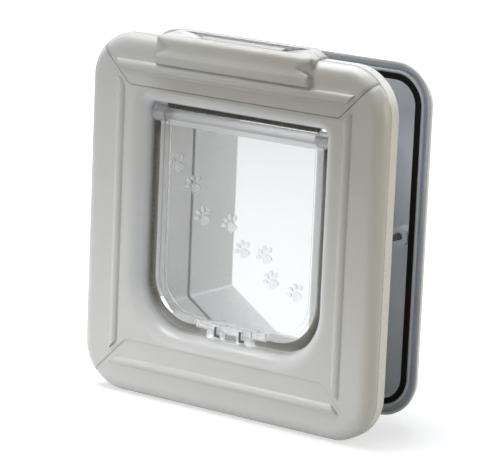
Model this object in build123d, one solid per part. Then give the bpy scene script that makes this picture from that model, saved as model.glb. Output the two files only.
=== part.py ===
from build123d import *
import os
from math import atan2, degrees, sqrt

# Cat flap for a door, in millimetres. The origin is the middle of the opening, on the plane where the
# indoor frame meets the door. +X is to the right seen from indoors, +Y points outdoors and +Z up.

# Opening and the tunnel that lines the hole in the door
opening_width = 144.0
opening_height = 152.4
opening_low_corner = 34.0
opening_top_corner = 4.0
tunnel_wall = 2.5
tunnel_drop = 16.0
slant_width = 40.7
slant_height = 27.0
slant_round = 4.0
door_thickness = 40.3
tunnel_seam = 2.4
sleeve_overlap = 8.0
sleeve_clearance = 0.4

# Indoor frame: a front bezel and a lift-off cover on a rear frame
stile_width = 46.0
top_rail = 43.8
sill_rail = 47.8
frame_corner = 32.0
rim_wall = 2.5
rim_round = 1.2
back_plate = 2.2
shell_wall = 1.8
edge_round = 8.4
edge_land = 0.3
lip_round = 10.0
lip_land = 0.5

# Seams and beads on the front
sill_seam_land = 0.4
seam_corner = 6.0
seam_gap = 0.35
sill_step = 0.4
bead_width = 6.2
bead_height = 2.0
bead_inset = 27.1
top_bead_rise = 13.6
sill_bead_drop = 15.6
bead_setback = 3.5
clear_cut = 1.0

# Grip on the cover
grip_half_width = 62.0
grip_front_half_width = 60.5
grip_top_half_width = 54.0
grip_drop = 16.8
grip_lip = 3.2
grip_neck = 1.6
grip_rise = 5.4
grip_slope = 3.8
grip_round = 4.0
grip_end_rise = 0.8
grip_wall = 2.0
pocket_depth = 3.0
pocket_half_length = 50.0
pocket_ramp = 17.0
pocket_front = 4.2
pocket_back = 3.5
scoop_length = 12.5
scoop_drop = 5.0
scoop_rise = 4.2
scoop_fall = 5.2
scoop_depth = 2.4
tongue_gap = 1.5
tongue_width = 6.0
tongue_thickness = 1.4
tongue_reach = 2.2
tongue_root = 5.4
tongue_clearance = 0.6

# Flap and its hinge
flap_gap = 6.5
flap_corner = 30.0
panel_thickness = 2.4
flap_rim = 3.0
flap_rim_thickness = 5.0
flap_step = 3.3
flap_step_thickness = 3.6
hinge_depth = 3.7
hinge_drop = 8.2
hinge_bar_radius = 3.5
hinge_boss_radius = 5.5
hinge_boss_length = 10.0
hinge_side_gap = 0.8
pin_radius = 1.5
pin_grip = 13.0
pin_reach = 4.6
pin_running_gap = 0.05
bearing_wall = 1.75
bearing_length = 5.5
paw_height = 0.6
paw_turn = 35.0
paw_heel_spread = 2.1
paw_heel_drop = 1.6
paw_heel_radius = 1.7
paw_tip_rise = 1.2
paw_tip_radius = 1.9
paw_toe_reach = 6.1
paw_toe_half_width = 1.4
paw_toe_half_length = 2.1
paw_toe_angles = [-58, -20, 20, 58]
paw_trail = [(-50, 35), (-36, 22.5), (-27, 2.5), (-5, 1), (6, -14.5), (24, -15.5), (30, -31), (49.5, -36.5)]

# Brush seal round the flap
brush_thickness = 4.0
brush_clearance = 0.4

# Catch on the flap's bottom edge
catch_half_width = 18.0
catch_wing_half_width = 28.0
catch_floor_gap = 0.8
catch_front = 6.5
catch_back = 4.7
catch_cover = 4.2
wing_front = 5.0
window_margin = 1.4
window_line = 1.8
window_lead = 2.0
window_foot = 4.6
fit_gap = 0.1
magnet_length = 9.0
magnet_depth = 6.0
magnet_height = 4.0

# Latches, their solenoids and springs in the sill
latch_pitch = 20.0
finger_width = 4.0
finger_thickness = 3.0
finger_offset = 1.0
finger_recess = 0.6
latch_travel = 6.0
slot_clearance = 0.65
latch_headroom = 0.8
latch_block_height = 5.0
latch_block_width = 9.0
latch_block_front = 2.8
plunger_radius = 2.0
plunger_clearance = 0.3
solenoid_width = 14.0
solenoid_depth = 11.6
solenoid_height = 20.0
yoke_strip = 1.4
spring_length = 6.5
spring_radius = 3.2
spring_wire = 0.4
spring_turns = 4.0

# Power and control behind the cover
cell_radius = 7.25
cell_length = 50.5
cell_button_radius = 2.75
cell_button = 1.4
cell_gap = 0.3
cell_row_gap = 0.3
cell_top_gap = 0.35
tray_wall = 2.0
tray_skin = 0.7
tray_back_gap = 0.4
contact_thickness = 0.5
contact_size = 10.0
board_width = 34.0
board_height = 24.0
board_thickness = 1.6
board_standoff = 4.3
board_gap = 8.5
board_rise = 8.3
post_radius = 2.4
part_margin = 2.5
chip_length = 10.0
chip_width = 8.0
chip_thickness = 1.6
sounder_radius = 4.0
sounder_height = 4.5
terminal_length = 12.0
terminal_width = 5.0
terminal_height = 5.0
lead_radius = 1.2
lead_clearance = 0.2
lead_bend = 14.0
lead_offset = 5.6
coil_offset = 20.0
coil_thickness = 2.2
coil_width = 6.0

# Screws and pegs
screw_offset = 23.8
screw_height = 3.7
screw_radius = 2.2
screw_head_radius = 4.2
screw_head_height = 2.6
screw_thread = 10.0
screw_tip_room = 2.0
bezel_peg_inset = 12.0
bezel_peg_height = 60.0
bezel_corner_inset = 20.0
bezel_peg_radius = 1.4
bezel_boss_radius = 3.6
pad_depth = 5.0
pad_radius = 5.0

# Outdoor frame
outdoor_side = 43.1
outdoor_rise = 40.8
outdoor_corner = 27.5
flange_thickness = 6.8
flange_edge = 0.8
flange_rim = 2.0
channel_width = 3.4
channel_depth = 3.0
gasket_rib = 2.0
gasket_width = 4.0
gasket_seat = 1.2
gasket_proud = 1.0
dish_depth = 17.2
dish_inset = 9.0
dish_wall = 3.0
dish_round = 4.0
collar_length = 32.8
mouth_wall = 3.8
mouth_round = 2.2
post_outer_radius = 6.5
post_recess = 0.3

# Planes and places that follow from the sizes above. The frame is as deep as a cell in its tray needs.
half_opening = opening_width / 2
half_frame = half_opening + stile_width
sill = -opening_height / 2
tunnel_floor = sill - tunnel_drop
frame_above = top_rail - sill
frame_below = sill_rail - sill
frame_depth = shell_wall + cell_gap + 2 * cell_radius + tray_skin + tray_back_gap
front = -frame_depth
parting = front + edge_round + edge_land
collar_back = front + lip_round + lip_land
cover_seam_height = lip_round - sill
sill_seam_height = lip_round + sill_seam_land - sill
top_bead_height = cover_seam_height + top_bead_rise
sill_bead_height = sill_seam_height + sill_bead_drop
grip_low = frame_above - grip_drop
hinge_y = -hinge_depth
hinge_height = -sill - hinge_drop
bearing_radius = pin_radius + pin_running_gap + bearing_wall
flap_half = half_opening - flap_gap
flap_low = sill + flap_gap
catch_low = sill + catch_floor_gap
floor_under = sill - tunnel_wall
finger_y = hinge_y - finger_offset
finger_top = sill - finger_recess
block_top = floor_under - latch_travel - latch_headroom
block_low = block_top - latch_block_height
yoke_top = block_low - spring_length
yoke_low = yoke_top - solenoid_height
yoke_front = -back_plate - solenoid_depth
solenoid_y = -back_plate - solenoid_depth / 2
rim_inside = frame_above - rim_wall
cell_y = front + shell_wall + cell_gap + cell_radius
upper_row = rim_inside - cell_top_gap - cell_radius
lower_row = upper_row - 2 * cell_radius - cell_row_gap
tray_end = cell_length + 2 * contact_thickness + tray_wall
tray_low = lower_row - cell_radius - tray_wall / 2
window_low = tray_low - cell_gap
board_left = tray_end + board_gap
board_low = board_rise - sill
screw_spread = half_opening + screw_offset
upper_peg = (half_frame - bezel_peg_inset, bezel_peg_height)
lower_peg = (half_frame - bezel_corner_inset, bezel_corner_inset - frame_below)
bezel_peg_places = [(side * x, z) for x, z in (upper_peg, lower_peg) for side in (1, -1)]
outdoor_width = opening_width + 2 * outdoor_side
outdoor_height = opening_height + 2 * outdoor_rise
flange_round = flange_thickness - flange_edge
flange_back = door_thickness + flange_thickness
outdoor_face = door_thickness + dish_depth
dish_floor = outdoor_face - dish_wall
mouth = outdoor_face + collar_length
channel_inset = flange_rim + channel_width
gasket_inset = channel_inset + gasket_rib
flange_land = gasket_inset + gasket_width
post_face = door_thickness + post_recess


def outline(width, low, high, low_corner, high_corner):
    """A rectangle in X and Z, centred across, with its own radii for its bottom and top corners."""
    shape = Pos(0, (low + high) / 2) * Rectangle(width, high - low)
    shape = fillet(shape.vertices().group_by(Axis.Y)[0], low_corner)
    return fillet(shape.vertices().group_by(Axis.Y)[-1], high_corner)


def frame_outline(grow=0.0):
    corner = frame_corner + grow
    return outline(2 * (half_frame + grow), -frame_below - grow, frame_above + grow, corner, corner)


def opening_outline(grow=0.0):
    low_corner = opening_low_corner + grow
    top_corner = opening_top_corner + grow
    return outline(2 * (half_opening + grow), sill - grow, grow - sill, low_corner, top_corner)


def tunnel_outline(grow=0.0):
    """The tunnel behind the sill: as wide as the opening, with a lower floor and slanting lower corners."""
    slant = sqrt(slant_width**2 + slant_height**2)
    side, high, low = half_opening + grow, grow - sill, tunnel_floor - grow
    bend = tunnel_floor + slant_height - grow * (slant - slant_height) / slant_width
    foot = half_opening - slant_width + grow * (slant - slant_width) / slant_height
    half = [(foot, low), (side, bend), (side, high)]
    shape = Polygon(*half, *[(-x, z) for x, z in reversed(half)], align=None)
    shape = fillet(shape.vertices().group_by(Axis.Y)[-1], opening_top_corner + grow)
    floor_ends, bends = shape.vertices().group_by(Axis.Y)[:2]
    return fillet([*floor_ends, *bends], slant_round + grow)


def outdoor_outline(inset=0.0):
    corner = outdoor_corner - inset
    half = outdoor_height / 2 - inset
    return outline(outdoor_width - 2 * inset, -half, half, corner, corner)


def flap_outline(grow=0.0):
    corner = flap_corner + grow
    return outline(2 * (flap_half + grow), flap_low - grow, hinge_height, corner, flap_rim)


def slab(sketch, near, far):
    """A sketch drawn in X and Z, made solid between two depths."""
    return extrude(Plane.XZ.offset(-far) * sketch, amount=far - near)


def block(x_span, y_span, z_span):
    """A box given by its two limits on each axis."""
    spans = (x_span, y_span, z_span)
    middle = [(low + high) / 2 for low, high in spans]
    return Pos(*middle) * Box(*[high - low for low, high in spans])


def rod_across(radius, x_span, y, z):
    """A round bar along X."""
    start, end = x_span
    return Pos((start + end) / 2, y, z) * Rotation(0, 90, 0) * Cylinder(radius, end - start)


def rod_up(radius, x, y, z_span):
    """A round bar along Z."""
    low, high = z_span
    return Pos(x, y, (low + high) / 2) * Cylinder(radius, high - low)


def rod_through(radius, x, z, near, far):
    """A round bar along Y."""
    return slab(Pos(x, z) * Circle(radius), near, far)


def dish(outer, hole, near, far, edge, lip):
    """A ring between two outlines, with its outer and inner front edges rounded."""
    ring = slab(outer - hole, near, far)
    ring = fillet(ring.faces().sort_by(Axis.Y)[0].outer_wire().edges(), edge)
    return fillet(ring.faces().sort_by(Axis.Y)[0].inner_wires()[0].edges(), lip)


def front_shell():
    """The hollow front of the indoor frame, before the cover is parted from it."""
    skin = dish(frame_outline(), opening_outline(), front, collar_back, edge_round, lip_round)
    hollow = dish(
        frame_outline(-shell_wall),
        opening_outline(shell_wall),
        front + shell_wall,
        collar_back + shell_wall,
        edge_round - shell_wall,
        lip_round - shell_wall,
    )
    behind = slab(frame_outline(shell_wall) - opening_outline(shell_wall), parting, collar_back + shell_wall)
    return skin - hollow - behind


def mitred(seam_height, reach, inset):
    """The trapezoid above a level seam whose ends run at 45 degrees out to the frame's corners."""
    low = seam_height + inset
    half = seam_height + half_frame - reach - inset * (sqrt(2) - 1)
    rise = frame_corner + reach - seam_height
    points = [(-half, low), (half, low), (half + rise, low + rise), (-half - rise, low + rise)]
    shape = make_face(Polyline(*points, close=True))
    return fillet(shape.vertices().group_by(Axis.Y)[0], seam_corner)


def cover_area(inset=0.0):
    return mitred(cover_seam_height, frame_above, inset)


def sill_area():
    return mirror(mitred(sill_seam_height, frame_below, 0.0), about=Plane.XZ)


def bead(length):
    """A half-round ridge along X, standing on the front face."""
    radius = (bead_width ** 2 / 4 + bead_height ** 2) / (2 * bead_height)
    return rod_across(radius, (-length / 2, length / 2), front + radius - bead_height, 0)


def trim_bead(bar, points):
    """Cuts a ridge to a mitred length and to the part that stands out of the face."""
    area = make_face(Polyline(*points, close=True))
    return bar & slab(area, front - 2 * bead_height, front + shell_wall / 2)


def level_bead(height, reach):
    """A ridge above or below the opening, cut off parallel to the mitres."""
    cut = sqrt(2) * bead_setback - half_frame + reach
    low = height - bead_width
    high = height + bead_width
    points = [(-low + cut, low), (low - cut, low), (high - cut, high), (-high + cut, high)]
    return trim_bead(Pos(0, 0, height) * bead(2 * half_frame), points)


def stile_bead():
    """The ridge to the right of the opening, between the two mitres."""
    x = half_frame - bead_inset
    left = x - bead_width
    right = x + bead_width
    top = frame_above - half_frame - sqrt(2) * bead_setback
    low = half_frame - frame_below + sqrt(2) * bead_setback
    points = [(left, low - left), (right, low - right), (right, top + right), (left, top + left)]
    bar = Pos(x, 0, 0) * Rotation(0, 90, 0) * bead(frame_above + frame_below)
    return trim_bead(bar, points)


def front_bezel(shell):
    """The front of the indoor frame: beads, a sunk sill panel and four bosses behind it."""
    sunk = (Pos(0, sill_step, 0) * shell) & slab(sill_area(), front, parting)
    body = shell - slab(cover_area(), front - clear_cut, 0)
    body -= slab(sill_area(), front - clear_cut, parting + clear_cut)
    body += sunk
    body += stile_bead() + mirror(stile_bead(), about=Plane.YZ)
    body += Pos(0, sill_step, 0) * mirror(level_bead(sill_bead_height, frame_below), about=Plane.XY)
    for x, z in bezel_peg_places:
        body += rod_through(bezel_boss_radius, x, z, front + shell_wall, -pad_depth)
        body -= rod_through(bezel_peg_radius + fit_gap, x, z, front + 2 * shell_wall, -pad_depth)
    return body


def grip_profile(inset):
    """The grip's section in Y and Z, from the frame's back over its top and down to the finger lip."""
    top = frame_above + grip_rise - inset
    neck = front - grip_neck + inset
    lip = front - grip_lip + inset
    foot = grip_low + inset
    shoulder = (grip_low + frame_above) / 2 + grip_neck / 2
    nose = grip_low + grip_rise
    points = [
        (-seam_gap, foot),
        (-seam_gap, top),
        (neck, top - grip_slope),
        (neck, shoulder),
        (lip, nose),
        (lip + grip_neck / 2, foot),
    ]
    shape = make_face(Polyline(*points, close=True))
    rounds = {(neck, top - grip_slope): grip_round, (neck, shoulder): grip_lip, (lip, nose): grip_neck}
    for (y, z), radius in rounds.items():
        corner = shape.vertices().sort_by_distance((y, z, 0))[0]
        shape = fillet(corner, max(radius - inset, grip_neck / 2))
    return shape


def grip_solid(inset):
    """The grip: its section drawn out along X, with ends that taper towards the lip and the top."""
    half = grip_half_width - inset
    run = extrude(Plane.YZ * grip_profile(inset), amount=half, both=True)
    top = frame_above + grip_rise
    top_half = grip_top_half_width - inset
    shoulder = frame_above + grip_end_rise
    lip = front - grip_lip
    ends = [(-half, grip_low), (half, grip_low), (half, shoulder)]
    ends += [(top_half, top), (-top_half, top), (-half, shoulder)]
    from_front = slab(make_face(Polyline(*ends, close=True)), lip, 0)
    face_half = grip_front_half_width - inset
    plan = [(-half, 0), (half, 0), (half, front), (face_half, lip), (-face_half, lip), (-half, front)]
    from_top = Pos(0, 0, grip_low) * extrude(make_face(Polyline(*plan, close=True)), amount=top - grip_low)
    return run & from_front & from_top


def grip_pocket():
    """The finger pocket in the grip's sloping top: ramps at both ends and a raised bar along the middle."""
    flat = pocket_half_length - pocket_ramp
    floor = -pocket_depth
    points = [(-pocket_half_length, 0), (-flat, floor), (flat, floor), (pocket_half_length, 0)]
    hollow = slab(make_face(Polyline(*points, close=True)), front + pocket_front, -pocket_back)
    bar_half = (frame_depth - pocket_front - pocket_back) / 4
    middle = (front + pocket_front - pocket_back) / 2
    bar = block((-flat, flat), (middle - bar_half, middle + bar_half), (floor, floor / 4))
    tilt = degrees(atan2(grip_slope, frame_depth + grip_neck - seam_gap))
    return Pos(0, -seam_gap, frame_above + grip_rise) * Rotation(tilt, 0, 0) * (hollow - bar)


def grip_scoop():
    """The scoop at the grip's right end, which opens from a point on the face towards the end."""
    tip = grip_half_width - scoop_length
    end = grip_half_width + scoop_length
    middle = frame_above - scoop_drop
    points = [(tip, middle), (end, middle + 2 * scoop_rise), (end, middle - 2 * scoop_fall)]
    neck = front - grip_neck
    lip = front - grip_lip - clear_cut
    plan = [(tip, lip), (end, lip), (end, neck + 2 * scoop_depth), (tip, neck)]
    area = extrude(make_face(Polyline(*plan, close=True)), amount=frame_above + grip_rise)
    return slab(make_face(Polyline(*points, close=True)), lip, front) & area


def cover_tongue(side):
    """A tongue inside the cover that tucks behind the bezel's edge when the cover is dropped on."""
    start = tray_end + tongue_gap
    span = sorted((side * start, side * (start + tongue_width)))
    wall = front + shell_wall
    high = cover_seam_height + tongue_root
    back = wall + tongue_clearance + tongue_thickness
    root = block(span, (wall - shell_wall / 2, back), (cover_seam_height + seam_gap, high))
    return root + block(span, (wall + tongue_clearance, back), (cover_seam_height - tongue_reach, high))


def top_cover(shell):
    """The cover over the batteries: it carries the grip and lifts straight up off the frame."""
    body = shell & slab(cover_area(seam_gap), front - clear_cut, parting - seam_gap)
    body += grip_solid(0.0) - slab(frame_outline(seam_gap), parting - seam_gap, frame_depth)
    reach = grip_half_width - scoop_length - grip_wall
    hollow = block((-reach, reach), (front - grip_lip, parting), (grip_low, frame_above - shell_wall))
    body -= grip_solid(grip_wall) & hollow
    room = slab(frame_outline(-shell_wall), front + shell_wall, 0)
    body -= fillet(room.faces().sort_by(Axis.Y)[0].edges(), edge_round - shell_wall)
    body -= grip_scoop() + mirror(grip_scoop(), about=Plane.YZ)
    body += level_bead(top_bead_height, frame_above)
    body += cover_tongue(-1) + cover_tongue(1)
    return body - grip_pocket()


def hinge_bearing(side):
    start = half_opening + shell_wall + fit_gap
    end = half_opening + bearing_length
    span = (start, end) if side > 0 else (-end, -start)
    return rod_across(bearing_radius, span, hinge_y, hinge_height)


def finger_room(side, low, high):
    """The clear space round one latch finger, between two heights."""
    x = side * latch_pitch / 2
    half_x = finger_width / 2 + slot_clearance
    half_y = finger_thickness / 2 + slot_clearance
    return block((x - half_x, x + half_x), (finger_y - half_y, finger_y + half_y), (low, high))


def rear_frame():
    """The rear of the indoor frame: a rim, a back plate and the indoor half of the tunnel."""
    rim = slab(frame_outline(), parting, 0)
    rim = fillet(rim.faces().sort_by(Axis.Y)[-1].edges(), rim_round)
    body = rim - slab(frame_outline(-rim_wall), parting, 0)
    body += slab(frame_outline(-rim_wall / 2) - opening_outline(tunnel_wall / 2), -back_plate, 0)
    tunnel_end = door_thickness - tunnel_seam / 2
    body += slab(opening_outline(tunnel_wall) - opening_outline(), collar_back, 0)
    body += slab(tunnel_outline(tunnel_wall) - tunnel_outline(), -back_plate / 2, tunnel_end)
    body += hinge_bearing(1) + hinge_bearing(-1)
    reach = half_opening + pin_reach + fit_gap
    body -= rod_across(pin_radius + pin_running_gap, (-reach, reach), hinge_y, hinge_height)
    window_end = tray_end + cell_gap
    body -= block((-window_end, window_end), (-back_plate, 0), (window_low, rim_inside))
    for side in (-1, 1):
        body -= rod_through(screw_radius + fit_gap, side * screw_spread, screw_height, -back_plate, 0)
        body -= finger_room(side, floor_under - clear_cut, sill + clear_cut)
    for x, z in bezel_peg_places:
        body += rod_through(pad_radius, x, z, -pad_depth, -back_plate / 2)
        body -= rod_through(bezel_peg_radius + fit_gap, x, z, -pad_depth, -back_plate)
    for x in (board_left + post_radius, board_left + board_width - post_radius):
        for z in (board_low + post_radius, board_low + board_height - post_radius):
            body += rod_through(post_radius, x, z, -back_plate - board_standoff, -back_plate / 2)
    return body


def paw_print(x, z):
    """One raised print: a rounded three-lobed pad and four toes."""
    heels = [Pos(x, -paw_heel_drop) * Circle(paw_heel_radius) for x in (-paw_heel_spread, paw_heel_spread)]
    lobes = Sketch() + heels + [Pos(0, paw_tip_rise) * Circle(paw_tip_radius)]
    toe = Pos(0, paw_toe_reach) * Ellipse(paw_toe_half_width, paw_toe_half_length)
    toes = [Rot(0, 0, angle) * toe for angle in paw_toe_angles]
    shape = Sketch() + [make_hull(lobes.edges())] + toes
    near = hinge_y - panel_thickness / 2 - paw_height
    return slab(Pos(x, z) * Rot(0, 0, paw_turn) * shape, near, hinge_y)


def flap_panel():
    """The clear flap: a thin panel with a stepped rim, a round bar along its top and raised paw prints."""

    def layer(sketch, thickness):
        return slab(sketch, hinge_y - thickness / 2, hinge_y + thickness / 2)

    body = layer(flap_outline(), panel_thickness)
    body += layer(flap_outline() - flap_outline(-flap_rim), flap_rim_thickness)
    body += layer(flap_outline() - flap_outline(-flap_rim - flap_step), flap_step_thickness)
    boss_end = half_opening - hinge_side_gap
    boss_start = boss_end - hinge_boss_length
    body += rod_across(hinge_bar_radius, (-boss_end, boss_end), hinge_y, hinge_height)
    for side in (-1, 1):
        span = sorted((side * boss_start, side * boss_end))
        body += rod_across(hinge_boss_radius, span, hinge_y, hinge_height)
        bore = sorted((side * (boss_end - pin_grip), side * boss_end))
        body -= rod_across(pin_radius, bore, hinge_y, hinge_height)
    for x, z in paw_trail:
        body += paw_print(x, z)
    return body


def hinge_pin(side):
    start = half_opening - hinge_side_gap - pin_grip
    span = sorted((side * start, side * (half_opening + pin_reach)))
    return rod_across(pin_radius, span, hinge_y, hinge_height)


def brush(side):
    """The pile strip on one side of the flap: down the edge, round the corner and along to the catch."""
    gap = slab(
        opening_outline(-brush_clearance) - flap_outline(fit_gap),
        hinge_y - brush_thickness / 2,
        hinge_y + brush_thickness / 2,
    )
    start = catch_half_width + fit_gap
    span = sorted((side * start, side * half_opening))
    return gap & block(span, (2 * hinge_y, 0), (sill, hinge_height - hinge_boss_radius - fit_gap))


def top_brush():
    """The pile strip in the tunnel's roof, just clear of the hinge bar."""
    half = half_opening - hinge_side_gap - hinge_boss_length - fit_gap
    low = hinge_height + hinge_bar_radius + brush_clearance
    depth = brush_thickness / 2
    return block((-half, half), (hinge_y - depth, hinge_y + depth), (low, -sill))


def catch_window(side, back, inset=0.0):
    """The L-shaped window in the front of the catch, before one latch finger."""
    left = side * latch_pitch / 2 - window_lead + inset
    low = catch_low + window_margin + inset
    high = flap_low + catch_cover - window_margin - inset
    line = window_line - 2 * inset
    depth = (hinge_y - catch_front + inset, back)
    upright = block((left, left + line), depth, (low, high))
    return upright + block((left, left + window_foot - 2 * inset), depth, (low, low + line))


def catch_striker(side):
    """The black plate in a window of the catch, which the latch finger bears on."""
    return catch_window(side, finger_y - finger_thickness / 2 - slot_clearance, fit_gap)


def flap_catch():
    """The clear housing on the flap's bottom edge: it holds the magnet and takes the latch fingers."""
    high = flap_low + catch_cover
    depth = (hinge_y - catch_front, hinge_y + catch_back)
    body = block((-catch_half_width, catch_half_width), depth, (catch_low, high))
    body = fillet(body.edges().filter_by(Axis.Y), catch_cover / 4)
    rim = flap_rim_thickness / 2 + fit_gap
    wing = (-catch_wing_half_width, catch_wing_half_width)
    body += block(wing, (hinge_y - wing_front, hinge_y - rim), (flap_low - catch_floor_gap, high))
    body -= slab(flap_outline(fit_gap), hinge_y - rim, hinge_y + rim)
    pocket_top = finger_top + latch_travel + slot_clearance
    for side in (-1, 1):
        body -= finger_room(side, catch_low, pocket_top)
        body -= catch_window(side, finger_y)
    return body - flap_magnet(fit_gap)


def flap_magnet(grow=0.0):
    half = magnet_length / 2 + grow
    depth = magnet_depth / 2 + grow
    low = catch_low + 2 * fit_gap - 3 * grow
    high = catch_low + 2 * fit_gap + magnet_height + grow
    return block((-half, half), (hinge_y - depth, hinge_y + depth), (low, high))


def sill_magnet():
    half = magnet_length / 2
    depth = (-back_plate - magnet_depth, -back_plate)
    return block((-half, half), depth, (floor_under - magnet_height, floor_under))


def latch(side):
    """A latch: a finger that rises through the tunnel floor, on a block that the plunger carries."""
    x = side * latch_pitch / 2
    half = finger_width / 2
    finger_span = (finger_y - finger_thickness / 2, finger_y + finger_thickness / 2)
    finger = block((x - half, x + half), finger_span, (block_low, finger_top))
    wide = latch_block_width / 2
    depth = (solenoid_y - latch_block_front, finger_span[1])
    return block((x - wide, x + wide), depth, (block_low, block_top)) + finger


def plunger(side):
    span = (yoke_low + 3 * yoke_strip, block_low)
    return rod_up(plunger_radius, side * latch_pitch / 2, solenoid_y, span)


def latch_spring(side):
    """The spring that draws the latch back down, hooked between the yoke and the latch."""
    pitch = (spring_length - 2 * spring_wire) / spring_turns
    path = Helix(pitch, spring_length - 2 * spring_wire, spring_radius)
    start = Plane(path @ 0, z_dir=path % 0)
    coil = sweep(start * Circle(spring_wire), path=path, is_frenet=True)
    return Pos(side * latch_pitch / 2, solenoid_y, yoke_top + spring_wire) * coil


def solenoid_yoke(side):
    """The folded steel frame of a solenoid, open at the front and sides."""
    x = side * latch_pitch / 2
    half = solenoid_width / 2
    body = block((x - half, x + half), (yoke_front, -back_plate), (yoke_low, yoke_top))
    inside = (yoke_low + yoke_strip, yoke_top - yoke_strip)
    body -= block((x - half, x + half), (yoke_front, -back_plate - yoke_strip), inside)
    bore = plunger_radius + plunger_clearance
    return body - rod_up(bore, x, solenoid_y, (yoke_top - 2 * yoke_strip, yoke_top))


def solenoid_coil(side):
    """The winding on its flanged bobbin, with the bore that the plunger runs in."""
    x = side * latch_pitch / 2
    low = yoke_low + yoke_strip
    high = yoke_top - yoke_strip
    flange = solenoid_depth / 2 - yoke_strip
    body = rod_up(flange - yoke_strip / 2, x, solenoid_y, (low, high))
    for end in (low, high - yoke_strip):
        body += rod_up(flange, x, solenoid_y, (end, end + yoke_strip))
    return body - rod_up(plunger_radius + plunger_clearance, x, solenoid_y, (low + yoke_strip, high))


def cell(column, row):
    """A round cell lying along X, its button towards the right in the upper row and the left below."""
    facing = 1 if row > 0 else -1
    z = upper_row if row > 0 else lower_row
    body = rod_across(cell_radius, (-cell_length / 2, cell_length / 2 - cell_button), 0, 0)
    body = fillet(body.edges(), cell_button / 2)
    body += rod_across(cell_button_radius, (cell_length / 2 - 2 * cell_button, cell_length / 2), 0, 0)
    turned = body if facing > 0 else Rot(0, 0, 180) * body
    return Pos(column * cell_length / 2, cell_y, z) * turned


def battery_tray():
    """The moulded tray with two half-round troughs, set in the window of the back plate."""
    trough_high = upper_row + cell_radius
    body = block((-tray_end, tray_end), (cell_y, -tray_back_gap), (tray_low, trough_high))
    end_front = cell_y - cell_radius / 2
    for side in (-1, 1):
        wall = sorted((side * (tray_end - tray_wall), side * tray_end))
        body += block(wall, (end_front, -tray_back_gap), (tray_low, trough_high))
    length = tray_end - tray_wall
    for z in (upper_row, lower_row):
        body -= rod_across(cell_radius + fit_gap / 2, (-length, length), cell_y, z)
    reach = contact_size / 2 + fit_gap
    for side in (-1, 1):
        slot = sorted((side * cell_length, side * length))
        body -= block(slot, (cell_y - reach, cell_y + reach), (tray_low + tray_wall / 2, trough_high))
    return body


def contact(x, rows):
    """A sprung contact strip on a tray end, touching one row of cells or bridging both."""
    half = contact_size / 2
    low = rows[0] - half
    high = rows[-1] + half
    span = sorted((x, x + (contact_thickness if x > 0 else -contact_thickness)))
    return block(span, (cell_y - half, cell_y + half), (low, high))


def circuit_board():
    """The control board with its chip, sounder and terminal block, on four posts."""
    back = -back_plate - board_standoff
    face = back - board_thickness
    right = board_left + board_width
    body = block((board_left, right), (face, back), (board_low, board_low + board_height))
    middle_x = board_left + board_width / 2
    middle_z = board_low + board_height / 2
    chip_x = (middle_x - chip_length / 2, middle_x + chip_length / 2)
    chip_z = (middle_z - chip_width / 2, middle_z + chip_width / 2)
    body += block(chip_x, (face - chip_thickness, face), chip_z)
    sounder_x = right - part_margin - sounder_radius
    body += rod_through(sounder_radius, sounder_x, middle_z, face - sounder_height, face)
    terminal_x = (board_left + part_margin, board_left + part_margin + terminal_length)
    terminal_z = (board_low + part_margin, board_low + part_margin + terminal_width)
    return body + block(terminal_x, (face - terminal_height, face), terminal_z)


def wiring_lead():
    """The lead from the board down the right stile to the solenoids, clipped on the back plate."""
    y = -back_plate - lead_radius - lead_clearance
    side_x = screw_spread - screw_head_radius - lead_offset
    low = yoke_low + solenoid_height / 2
    start_x = board_left + board_width - 3 * post_radius
    end_x = latch_pitch / 2 + solenoid_width / 2 + lead_clearance
    points = [
        (start_x, y, board_low + post_radius),
        (side_x, y, board_low - lead_bend),
        (side_x, y, low + lead_bend),
        (side_x - lead_bend, y, low),
        (end_x, y, low),
    ]
    path = FilletPolyline(*points, radius=lead_bend / 2)
    start = Plane(path @ 0, z_dir=path % 0)
    return sweep(start * Circle(lead_radius), path=path)


def sensor_coil():
    """The flat coil wound round the tunnel, which feels a collar key come near."""
    inner = tunnel_wall + fit_gap
    ring = tunnel_outline(inner + coil_thickness) - tunnel_outline(inner)
    return slab(ring, coil_offset, coil_offset + coil_width)


def fixing_screw(side):
    """A long screw from the rear frame, through the door and into a post of the outdoor frame."""
    x = side * screw_spread
    shank = rod_through(screw_radius, x, screw_height, -back_plate, post_face + screw_thread)
    shank = chamfer(shank.edges().sort_by(Axis.Y)[-1], screw_radius / 2)
    head = rod_through(screw_head_radius, x, screw_height, -back_plate - screw_head_height, -back_plate)
    head = fillet(head.edges().sort_by(Axis.Y)[0], screw_head_height / 2)
    return shank + head


def bezel_peg(x, z):
    """A peg pressed in a pad of the rear frame, on which the front bezel is pushed home."""
    return rod_through(bezel_peg_radius, x, z, front + 3 * shell_wall, -back_plate)


def taper(start, near, end, far):
    """A solid that runs straight from one outline to another."""
    return loft([Plane.XZ.offset(-near) * start, Plane.XZ.offset(-far) * end], ruled=True)


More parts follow.
